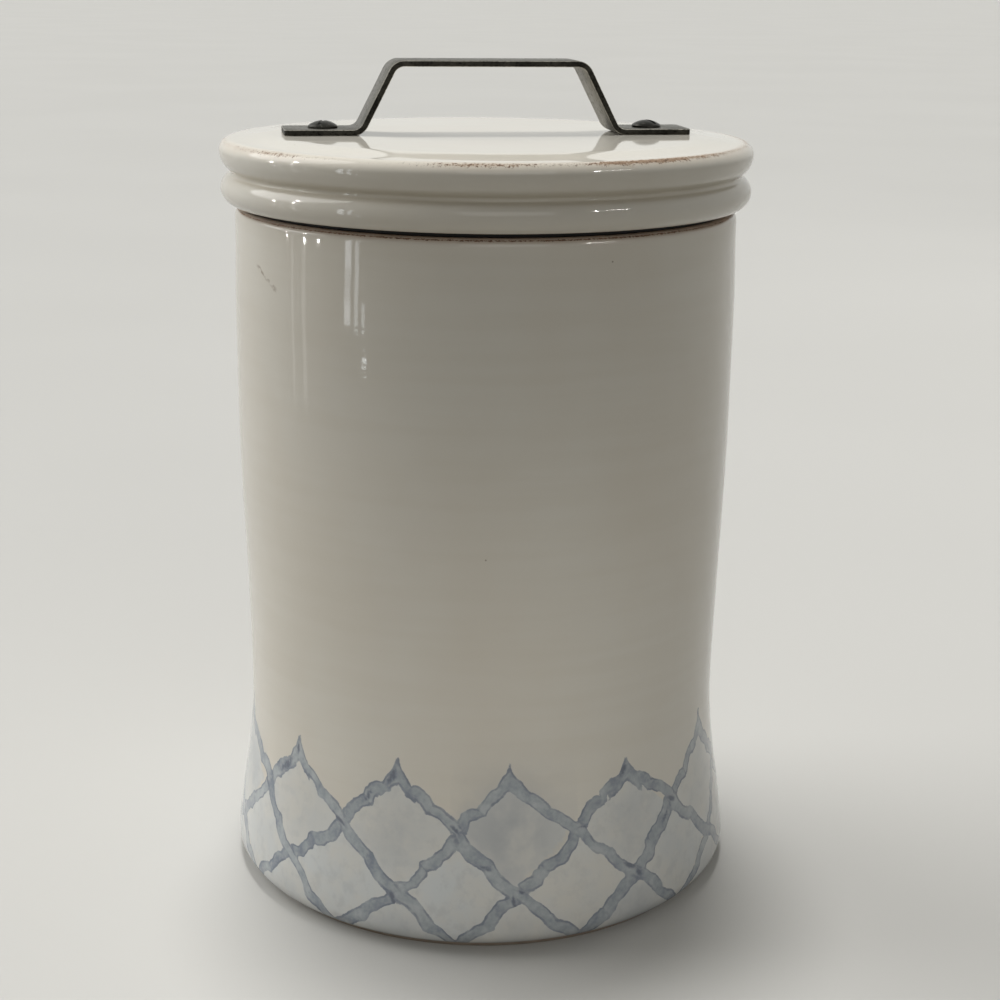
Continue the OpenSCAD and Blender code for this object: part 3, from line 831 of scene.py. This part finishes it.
# the four corners of its ends are rounded
take(strap)
bpy.ops.object.mode_set(mode="EDIT")
bpy.ops.mesh.select_mode(type="EDGE")
bpy.ops.mesh.select_all(action="DESELECT")
bpy.ops.object.mode_set(mode="OBJECT")
for e in strap.data.edges:
    a, b = (strap.data.vertices[i].co / MM for i in e.vertices)
    e.select = (abs(a.x - b.x) < 0.01 and abs(a.y - b.y) < 0.01
                and abs(a.x) > HANDLE_L / 2 - 0.01)
bpy.ops.object.mode_set(mode="EDIT")
bpy.ops.mesh.bevel(offset=CORNER_R * MM, segments=6, affect="EDGES")
bpy.ops.object.mode_set(mode="OBJECT")
drill_both(strap, LID_TOP + STRAP_T / 2, STRAP_HOLE, STRAP_T + 2, 48)


def path_run(points):
    """Length along the strap from its middle to the place beside each point."""
    path = [(0.0, HANDLE_H), (grip_x, HANDLE_H), (leg_x, STRAP_T / 2), (HANDLE_L / 2, STRAP_T / 2)]
    x, z = np.abs(points[:, 0]), points[:, 2] - LID_TOP
    best, run = np.full(len(x), 1e9), np.zeros(len(x))
    gone = 0.0
    for (x0, z0), (x1, z1) in zip(path, path[1:]):
        length = math.hypot(x1 - x0, z1 - z0)
        t = np.clip(((x - x0) * (x1 - x0) + (z - z0) * (z1 - z0)) / length ** 2, 0, 1)
        far = np.hypot(x - x0 - t * (x1 - x0), z - z0 - t * (z1 - z0))
        run = np.where(far < best, gone + t * length, run)
        best = np.minimum(best, far)
        gone += length
    return run * np.sign(points[:, 0])


def steel(name, pale, deep, black, shine, wear):
    """Blackened strap steel: pale streaks along the strap over a mottled ground, blacker in
    patches.
    """
    made, tree, shader, place = fresh(name)
    sideways = add(tree, "SeparateXYZ", place).outputs[1]
    along = times(tree, held(tree, "run"), 0.06)
    lengthways = add(tree, "CombineXYZ", along, sideways, 0.0).outputs[0]
    streaks = grain(tree, lengthways, 0.0007, 3, 0.6)
    patches = grain(tree, place, 0.010, 3, 0.6)
    mill = grain(tree, place, 0.0013, 4, 0.7)
    scoured = scaled(tree, streaks, 0.4, times(tree, mill, 0.6))
    colour = blend(tree, between(tree, scoured, 0.38, 0.62), deep, pale)
    soot = times(tree, between(tree, mill, 0.48, 0.66), wear)
    colour = blend(tree, soot, colour, black)
    colour = blend(tree, between(tree, patches, 0.55, 0.75, 0, 0.5), colour, black)
    rough = scaled(tree, streaks, 0.12, shine)
    rough = scaled(tree, soot, 0.25, rough)
    finish(tree, shader, colour, rough, 0.5, 0.05 * MM, scaled(tree, streaks, 0.4, mill))
    shader.inputs["Metallic"].default_value = 1.0
    return made


def ease_edges(piece, width, degrees):
    """Takes the sharpness off the edges that turn by more than that angle."""
    ease = piece.modifiers.new("ease", "BEVEL")
    ease.width = width * MM
    ease.segments = 2
    ease.limit_method = "ANGLE"
    ease.angle_limit = math.radians(degrees)
    return ease


# The eased arrises get the palest steel: rubbed bright, and a painted highlight along every edge.
FACE, EDGE, ARRIS = 0, 1, 2
for name, pale, deep, black, shine, wear in (
        ("burnished_face", (134, 131, 123), (84, 82, 76), (38, 37, 34), 0.32, 0.75),
        ("blackened_edge", (66, 64, 58), (26, 25, 23), (8, 8, 7), 0.38, 0.95),
        ("rubbed_arris_with_painted_highlight", (186, 182, 172), (104, 101, 94), (26, 25, 23), 0.26, 0.8)):
    strap.data.materials.append(
        steel(name, srgb(*pale), srgb(*deep), srgb(*black), shine, wear))
for face in strap.data.polygons:
    face.material_index = EDGE if abs(face.normal.y) > 0.7 or (
        abs(face.center.x) > (HANDLE_L / 2 - CORNER_R) * MM and abs(face.normal.z) < 0.3) else FACE
ease_edges(strap, 0.2, 40).material = ARRIS
apply_all(strap)
smooth(strap)
write(strap, "run", slice(None), path_run(points_of(strap)) * MM, 0)

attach(strap, "lid")
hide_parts("handle_strap")

# ---- the screws
# Two M4 screws with low domed heads, blackened like the strap. A saw cut
# across each head takes the screwdriver. The shanks go down through the strap,
# the lid and the washers into the cap nuts.
SCREW_D, SCREW_L, HEAD_D = 4.0, 16.4, 10.0
HEAD_EDGE, HEAD_DOME, SLOT_W, SLOT_DEPTH = 0.75, 1.7, 1.2, 1.2
SLOT_TURNS = (-20, 35)    # of the left one and the right one
head_z = LID_TOP + STRAP_T
dome_r = (HEAD_D ** 2 / 4 + HEAD_DOME ** 2) / (2 * HEAD_DOME)
dome_c = head_z + HEAD_EDGE + HEAD_DOME - dome_r
rim_a = math.degrees(math.acos((HEAD_D / 2 - 0.25) / dome_r))
screw_outline = (
    [(0, head_z - SCREW_L), (SCREW_D / 2 - 0.5, head_z - SCREW_L),
     (SCREW_D / 2, head_z - SCREW_L + 0.5), (SCREW_D / 2, head_z - 6),
     (SCREW_D / 2, head_z), (HEAD_D / 2 - 0.15, head_z), (HEAD_D / 2, head_z + 0.15),
     (HEAD_D / 2, head_z + HEAD_EDGE - 0.15)]
    + arc(0, dome_c, dome_r, rim_a, 90, 14))
screw = thrown("slotted_screw", screw_outline, 96)
bpy.ops.object.select_all(action="DESELECT")
bpy.ops.mesh.primitive_cube_add(size=1, location=(0, 0, (head_z + HEAD_EDGE + HEAD_DOME) * MM))
saw = bpy.context.object
saw.scale = (SLOT_W * MM, 2 * HEAD_D * MM, 2 * SLOT_DEPTH * MM)
cut_with(screw, saw)
ease_edges(screw, 0.08, 50)
apply_all(screw)
smooth(screw)

black_oxide, tree, shader, place = fresh("black_oxide_screw")
worn = grain(tree, place, 0.0016, 4, 0.65)
soft = grain(tree, place, 0.0060)
colour = blend(tree, between(tree, worn, 0.50, 0.74, 0, 0.7),
               srgb(56, 55, 52), srgb(112, 109, 103))
colour = blend(tree, between(tree, soft, 0.5, 0.7, 0, 0.5), colour, srgb(34, 33, 31))
finish(tree, shader, colour, scaled(tree, worn, 0.22, 0.22), 0.6, 0.06 * MM, worn)
shader.inputs["Metallic"].default_value = 1.0
screw.data.materials.append(black_oxide)


def fit_both(piece, name, node, turns=(0, 0)):
    """Sets a turned copy of a piece modelled on the Z axis over each screw hole."""
    for side, hand_side, degrees in ((-1, "left", turns[0]), (1, "right", turns[1])):
        bpy.ops.object.select_all(action="DESELECT")
        twin = piece.copy()
        twin.data = piece.data.copy()
        twin.name = twin.data.name = name + hand_side
        bpy.context.scene.collection.objects.link(twin)
        twin.data.transform(Matrix.Translation((side * SCREW_X * MM, 0, 0))
                            @ Matrix.Rotation(math.radians(degrees), 4, "Z"))
        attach(twin, "lid")
        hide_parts(node + hand_side)
    bpy.data.objects.remove(piece)


fit_both(screw, "screw_", "handle_screw_", SLOT_TURNS)

# ---- the washers
# Under the lid each screw passes a soft rubber washer, which keeps the steel
# off the stoneware, and then a plain steel one.
CUSHION_D, CUSHION_T, WASHER_D, WASHER_T, WASHER_HOLE = 14.0, 1.5, 12.0, 1.0, 4.3


def ring_outline(z, across_ring, thick, ease):
    """The closed outline of a flat ring with eased edges, its lower face at z."""
    inner, outer = WASHER_HOLE / 2, across_ring / 2
    return [(inner, z + ease), (inner + ease, z), ((inner + outer) / 2, z), (outer - ease, z),
            (outer, z + ease), (outer, z + thick - ease), (outer - ease, z + thick),
            ((inner + outer) / 2, z + thick), (inner + ease, z + thick),
            (inner, z + thick - ease), (inner, z + ease)]


rubber, tree, shader, place = fresh("washer_rubber")
bloom = grain(tree, place, 0.0022, 4, 0.65)
colour = blend(tree, between(tree, bloom, 0.45, 0.75, 0, 0.7), srgb(44, 43, 42), srgb(88, 85, 80))
finish(tree, shader, colour, scaled(tree, bloom, 0.25, 0.55))

bright, tree, shader, place = fresh("bright_plated_steel")
haze = grain(tree, place, 0.0030, 4, 0.6)
lines = grain(tree, squeezed(tree, place, 1, 1, 14), 0.004)
colour = blend(tree, between(tree, haze, 0.40, 0.75), srgb(200, 199, 194), srgb(160, 158, 152))
finish(tree, shader, colour, scaled(tree, haze, 0.22, 0.14), 0.15, 0.03 * MM, lines)
shader.inputs["Metallic"].default_value = 1.0

cushion_z = PLATE_Z - CUSHION_T
washer_z = cushion_z - WASHER_T
for kind, z, wide, thick, ease_mm, made_of, slot in (
        ("cushion_washer", cushion_z, CUSHION_D, CUSHION_T, 0.3, rubber, "washer_rubber"),
        ("flat_washer", washer_z, WASHER_D, WASHER_T, 0.12, bright, "bright_steel")):
    washer = thrown(kind, ring_outline(z, wide, thick, ease_mm), 64)
    smooth(washer, 30)
    washer.data.materials.append(made_of)
    fit_both(washer, kind + "_made_", kind + "_")

# ---- the cap nuts
# A plated cap nut closes each screw's end, so that nothing sharp shows inside
# the lid: a hexagon with turned-off corners under a round dome.
NUT_AF, NUT_HEX_H, NUT_H, NUT_BORE, BORE_GAP = 7.0, 3.2, 8.0, 5.5, 0.05
NUT_DOME = 0.46 * NUT_AF
NUT_CORNER = NUT_AF / 2 / math.cos(math.radians(30))

bpy.ops.object.select_all(action="DESELECT")
bpy.ops.mesh.primitive_cylinder_add(vertices=6, radius=NUT_CORNER * MM, depth=NUT_HEX_H * MM,
                                    location=(0, 0, (washer_z - NUT_HEX_H / 2) * MM))
nut = bpy.context.object
nut.name = nut.data.name = "cap_nut"
bpy.ops.object.transform_apply(location=True, rotation=False, scale=False)
chamfer = thrown("nut_chamfer", [
    (0, washer_z), (NUT_AF / 2 + 0.1, washer_z), (NUT_CORNER + 0.2, washer_z - 0.5),
    (NUT_CORNER + 0.2, washer_z - NUT_HEX_H + 0.5), (NUT_AF / 2 + 0.1, washer_z - NUT_HEX_H),
    (0, washer_z - NUT_HEX_H)], 96)
dome = thrown("nut_dome", [
    (0, washer_z - 1.5), (NUT_DOME, washer_z - 1.5), (NUT_DOME, washer_z - NUT_HEX_H - 0.5)]
    + arc(0, washer_z - NUT_H + NUT_DOME, NUT_DOME, 0, -90, 16), 96)
bore = thrown("nut_bore", [
    (0, washer_z + 1), (SCREW_D / 2 + 0.5, washer_z + 1), (SCREW_D / 2 + 0.5, washer_z - 0.02),
    (SCREW_D / 2 + BORE_GAP, washer_z - 0.45), (SCREW_D / 2 + BORE_GAP, washer_z - NUT_BORE),
    (0, washer_z - NUT_BORE - 0.8)], 96)
cut_with(nut, chamfer, "INTERSECT")
cut_with(nut, dome, "UNION")
cut_with(nut, bore)
ease_edges(nut, 0.07, 25)
apply_all(nut)
smooth(nut, 30)
nut.data.materials.append(bright)
fit_both(nut, "domed_nut_", "cap_nut_", (-15, 15))

# ---- the floor and the light
# A wide pale floor under broad soft lights: from low on the left, a little behind,
# from straight above, and fainter ones in front and on the right. The small lamps
# light nothing by themselves. They only leave the glints of windows in the glaze.
FLOOR_R, FLOOR_MIDDLE_R = 60.0, 3.0

bpy.ops.object.select_all(action="DESELECT")
bpy.ops.mesh.primitive_circle_add(vertices=96, radius=FLOOR_R, fill_type="NGON")
floor = bpy.context.object
floor.name = floor.data.name = "floor"
bpy.ops.object.mode_set(mode="EDIT")
bpy.ops.mesh.select_all(action="SELECT")
bpy.ops.mesh.inset(thickness=FLOOR_R - FLOOR_MIDDLE_R)
bpy.ops.object.mode_set(mode="OBJECT")


def seen_directly(tree):
    """1 for what the camera, a gloss or a glass sees, 0 for what only lights the room."""
    ray = add(tree, "LightPath")
    return number(tree, "MAXIMUM", ray.outputs["Is Camera Ray"], number(
        tree, "MAXIMUM", ray.outputs["Is Glossy Ray"], ray.outputs["Is Transmission Ray"]))


paper, tree, shader, place = fresh("floor_paper")
mottle = grain(tree, place, 0.5)
colour = blend(tree, between(tree, mottle, 0.3, 0.7), srgb(196, 195, 191), srgb(198, 197, 193))
colour = blend(tree, seen_directly(tree), srgb(128, 126, 121), colour)
tree.links.new(colour, shader.inputs["Base Color"])
shader.inputs["Roughness"].default_value = 0.9
floor.data.materials.append(paper)


def from_front(degrees, out, z):
    """A place that many degrees to the right of the line from the jar to the eye."""
    a = math.radians(-90 - HEADING + degrees)
    return (out * math.cos(a), out * math.sin(a), z)


def panel(name, at, towards, wide, tall, watts, tint):
    """A rectangular soft lamp at one point facing another."""
    bpy.ops.object.light_add(type="AREA", location=at)
    made = bpy.context.object
    made.name = made.data.name = name
    made.data.shape = "RECTANGLE"
    made.data.size, made.data.size_y = wide, tall
    made.data.energy = watts
    made.data.color = tint
    facing = Vector(towards) - made.location
    made.rotation_euler = facing.to_track_quat("-Z", "Y").to_euler()
    made.visible_camera = False
    return made


def sky_light(name, degrees, elevation, spread, strength, glints):
    """A broad light from far off, that many degrees wide; not all leave a glint."""
    bpy.ops.object.light_add(type="SUN", location=(0, 0, 3))
    made = bpy.context.object
    made.name = made.data.name = name
    made.data.angle = math.radians(spread)
    made.data.energy = strength
    made.data.color = (1.0, 0.998, 0.99)
    made.visible_glossy = glints
    shine = -Vector(from_front(degrees, 1.0, math.tan(math.radians(elevation))))
    made.rotation_euler = shine.to_track_quat("-Z", "Y").to_euler()


sky_light("side_light", -116, 20, 60, 1.7, False)
sky_light("side_sheen", -112, 38, 44, 0.9, True)
sky_light("top_light", -170, 78, 14, 2.0, False)
DAYLIGHT, LAMPLIGHT = (0.93, 0.97, 1.0), (1.0, 0.98, 0.95)
GLINT_OUT = 0.80  # how far out from the jar the small lamps stand
for name, degrees, low, high, wide, watts, tint in (
        ("left_sash_top", -58.5, 0.134, 0.45, 0.040, 0.16, DAYLIGHT),
        ("left_sash", -58.5, 0.094, 0.130, 0.040, 0.018, DAYLIGHT),
        ("middle_sash", -54.4, 0.087, 0.45, 0.024, 0.08, DAYLIGHT),
        ("right_sash", -51.2, 0.086, 0.125, 0.020, 0.007, DAYLIGHT),
        ("low_pane", -51.2, 0.0445, 0.0525, 0.028, 0.006, DAYLIGHT),
        ("door_edge_1", -90.0, 0.010, 0.45, 0.016, 0.020, LAMPLIGHT),
        ("door_edge_2", -82.5, 0.010, 0.45, 0.030, 0.036, LAMPLIGHT),
        ("bulb_1", -93.5, 0.181, 0.188, 0.012, 0.030, LAMPLIGHT),
        ("bulb_2", -82.0, 0.180, 0.187, 0.012, 0.030, LAMPLIGHT),
        ("bulb_3", -74.0, 0.183, 0.190, 0.012, 0.040, LAMPLIGHT),
        ("left_spot_1", -96.5, 0.415, 0.435, 0.020, 0.25, LAMPLIGHT),
        ("left_spot_2", -85.0, 0.470, 0.490, 0.020, 0.25, LAMPLIGHT),
        ("left_spot_3", -89.5, 0.660, 0.690, 0.026, 0.40, LAMPLIGHT),
        ("right_spot", 49.5, 0.740, 0.775, 0.030, 0.60, LAMPLIGHT),
        ("right_tube", 59.0, 0.750, 0.766, 0.200, 0.50, LAMPLIGHT)):
    z = (low + high) / 2
    lamp = panel(name, from_front(degrees, GLINT_OUT, z), (0, 0, z), wide, high - low, watts, tint)
    lamp.visible_diffuse = False
panel("front_fill", from_front(10, 1.6, 1.2), (0, 0, 0.12), 1.2, 0.8, 2.5, LAMPLIGHT)
for name, degrees, out, z, aim_z, wide, tall, watts, spread in (
        ("right_fill", 125, 1.60, 0.90, 0.12, 1.20, 0.80, 2.60, 180),
        ("low_fill", 2, 0.46, 0.17, 0.02, 0.34, 0.10, 0.04, 50)):
    fill = panel(name, from_front(degrees, out, z), (0, 0, aim_z), wide, tall, watts, LAMPLIGHT)
    fill.data.spread = math.radians(spread)
    fill.visible_glossy = False

world = bpy.data.worlds.new("plain_room")
bpy.context.scene.world = world
world.use_nodes = True
tree = world.node_tree
sky = tree.nodes["Background"]
sky.inputs[0].default_value = srgb(216, 216, 212)
tree.links.new(scaled(tree, seen_directly(tree), 0.85, 0.15), sky.inputs[1])

bpy.context.scene.view_settings.view_transform = "Standard"
